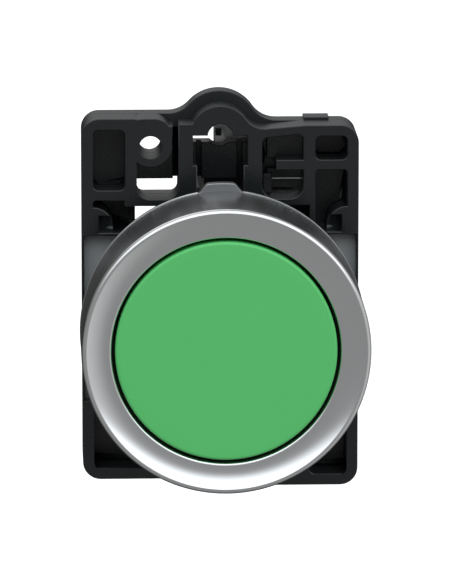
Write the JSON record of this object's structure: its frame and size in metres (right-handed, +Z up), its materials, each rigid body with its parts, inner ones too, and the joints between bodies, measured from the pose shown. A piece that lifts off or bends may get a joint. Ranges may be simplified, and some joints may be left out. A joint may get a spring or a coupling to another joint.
{
  "type": "industrial push button",
  "caption": "Flush spring-return push button for a 22 mm panel hole, with plated bezel, green cap, rear collar and contact block.",
  "frame": {"origin": "on the barrel's axis, in the plane where the gasket meets the front of the panel", "axes": "+Y goes through the panel to the rear, +Z is up, +X is to the right seen from the front"},
  "size_m": [0.03, 0.0564, 0.0422],
  "materials": {
    "plated_metal": "satin chrome plating",
    "green_cap": "satin",
    "seal_rubber": "matte",
    "black_plastic": "satin",
    "collar_plastic": "fine grain",
    "grey_plate": "matte",
    "spring_steel": "drawn wire",
    "plated_steel": "zinc plated",
    "ring_plastic": "satin",
    "block_plastic": "fine grain",
    "rivet_brass": "satin",
    "latch_plastic": "satin",
    "plunger_plastic": "satin",
    "contact_brass": "rolled",
    "contact_silver": "silver contact"
  },
  "bodies": {
    "base": {"bezel": "plated_metal", "cap_seal": "seal_rubber", "barrel": "black_plastic", "panel_gasket": "seal_rubber", "collar_frame": "collar_plastic", "collar_back": "collar_plastic", "collar_plate": "grey_plate", "collar_clip": "plated_steel", "clip_rivet": "plated_steel", "block_housing": "block_plastic", "block_cover": "block_plastic", "block_rivets": "rivet_brass", "latch_pin": "plated_steel", "upper_contact": "contact_brass", "lower_contact": "contact_brass", "fixed_tips": "contact_silver"},
    "button": {"cap": "green_cap", "pusher": "black_plastic", "pusher_clip": "spring_steel", "return_spring": "spring_steel"},
    "contact_carrier": {"plunger": "plunger_plastic", "contact_bridge": "contact_brass", "bridge_tips": "contact_silver", "contact_spring": "spring_steel"},
    "clamp_pad": {"clamp_pad": "plated_steel"},
    "clamp_screw": {"clamp_screw": "plated_steel"},
    "lock_ring": {"lock_ring": "ring_plastic"},
    "block_latch": {"block_latch": "latch_plastic"},
    "upper_clamp": {"upper_clamp": "plated_steel"},
    "upper_screw": {"upper_screw": "plated_steel"},
    "lower_clamp": {"lower_clamp": "plated_steel"},
    "lower_screw": {"lower_screw": "plated_steel"}
  },
  "joints": [
    {"name": "button_travel", "type": "slide", "parent": "base", "child": "button", "axis": [0, 1, 0], "range_m": [0, 0.0036], "stiffness_N_per_m": 800, "springref_m": -0.004, "deforming": ["return_spring"]},
    {"name": "plunger_travel", "type": "slide", "parent": "base", "child": "contact_carrier", "axis": [0, 1, 0], "range_m": [0, 0.0036], "deforming": ["contact_spring"]},
    {"name": "clamp_feed", "type": "slide", "parent": "base", "child": "clamp_pad", "axis": [0, -1, 0], "range_m": [0, 0.002]},
    {"name": "clamp_turn", "type": "hinge", "parent": "clamp_pad", "child": "clamp_screw", "pos_m": [-0.0045, 0.0085, -0.014], "axis": [0, -1, 0], "range_deg": [0, 1441]},
    {"name": "lock_turn", "type": "hinge", "parent": "base", "child": "lock_ring", "pos_m": [0, 0.0123, 0], "axis": [0, -1, 0], "range_deg": [0, 30]},
    {"name": "latch_tilt", "type": "hinge", "parent": "base", "child": "block_latch", "pos_m": [0.0073, 0.0175, 0.0134], "axis": [-1, 0, 0], "range_deg": [0, 12], "stiffness_Nm_per_rad": 0.02, "springref_deg": -5.73},
    {"name": "upper_feed", "type": "slide", "parent": "base", "child": "upper_clamp", "axis": [0, 1, 0], "range_m": [0, 0.0016]},
    {"name": "upper_turn", "type": "hinge", "parent": "upper_clamp", "child": "upper_screw", "pos_m": [0.004, 0.0352, 0.009], "axis": [0, 1, 0], "range_deg": [0, 1153]},
    {"name": "lower_feed", "type": "slide", "parent": "base", "child": "lower_clamp", "axis": [0, 1, 0], "range_m": [0, 0.0016]},
    {"name": "lower_turn", "type": "hinge", "parent": "lower_clamp", "child": "lower_screw", "pos_m": [0.004, 0.0352, -0.009], "axis": [0, 1, 0], "range_deg": [0, 1153]}
  ],
  "couplings": [
    {"joint": "plunger_travel", "follows": "button_travel", "ratio": 1},
    {"joint": "clamp_turn", "follows": "clamp_feed", "rad_per_m": 12566},
    {"joint": "upper_turn", "follows": "upper_feed", "rad_per_m": 12566},
    {"joint": "lower_turn", "follows": "lower_feed", "rad_per_m": 12566}
  ]
}
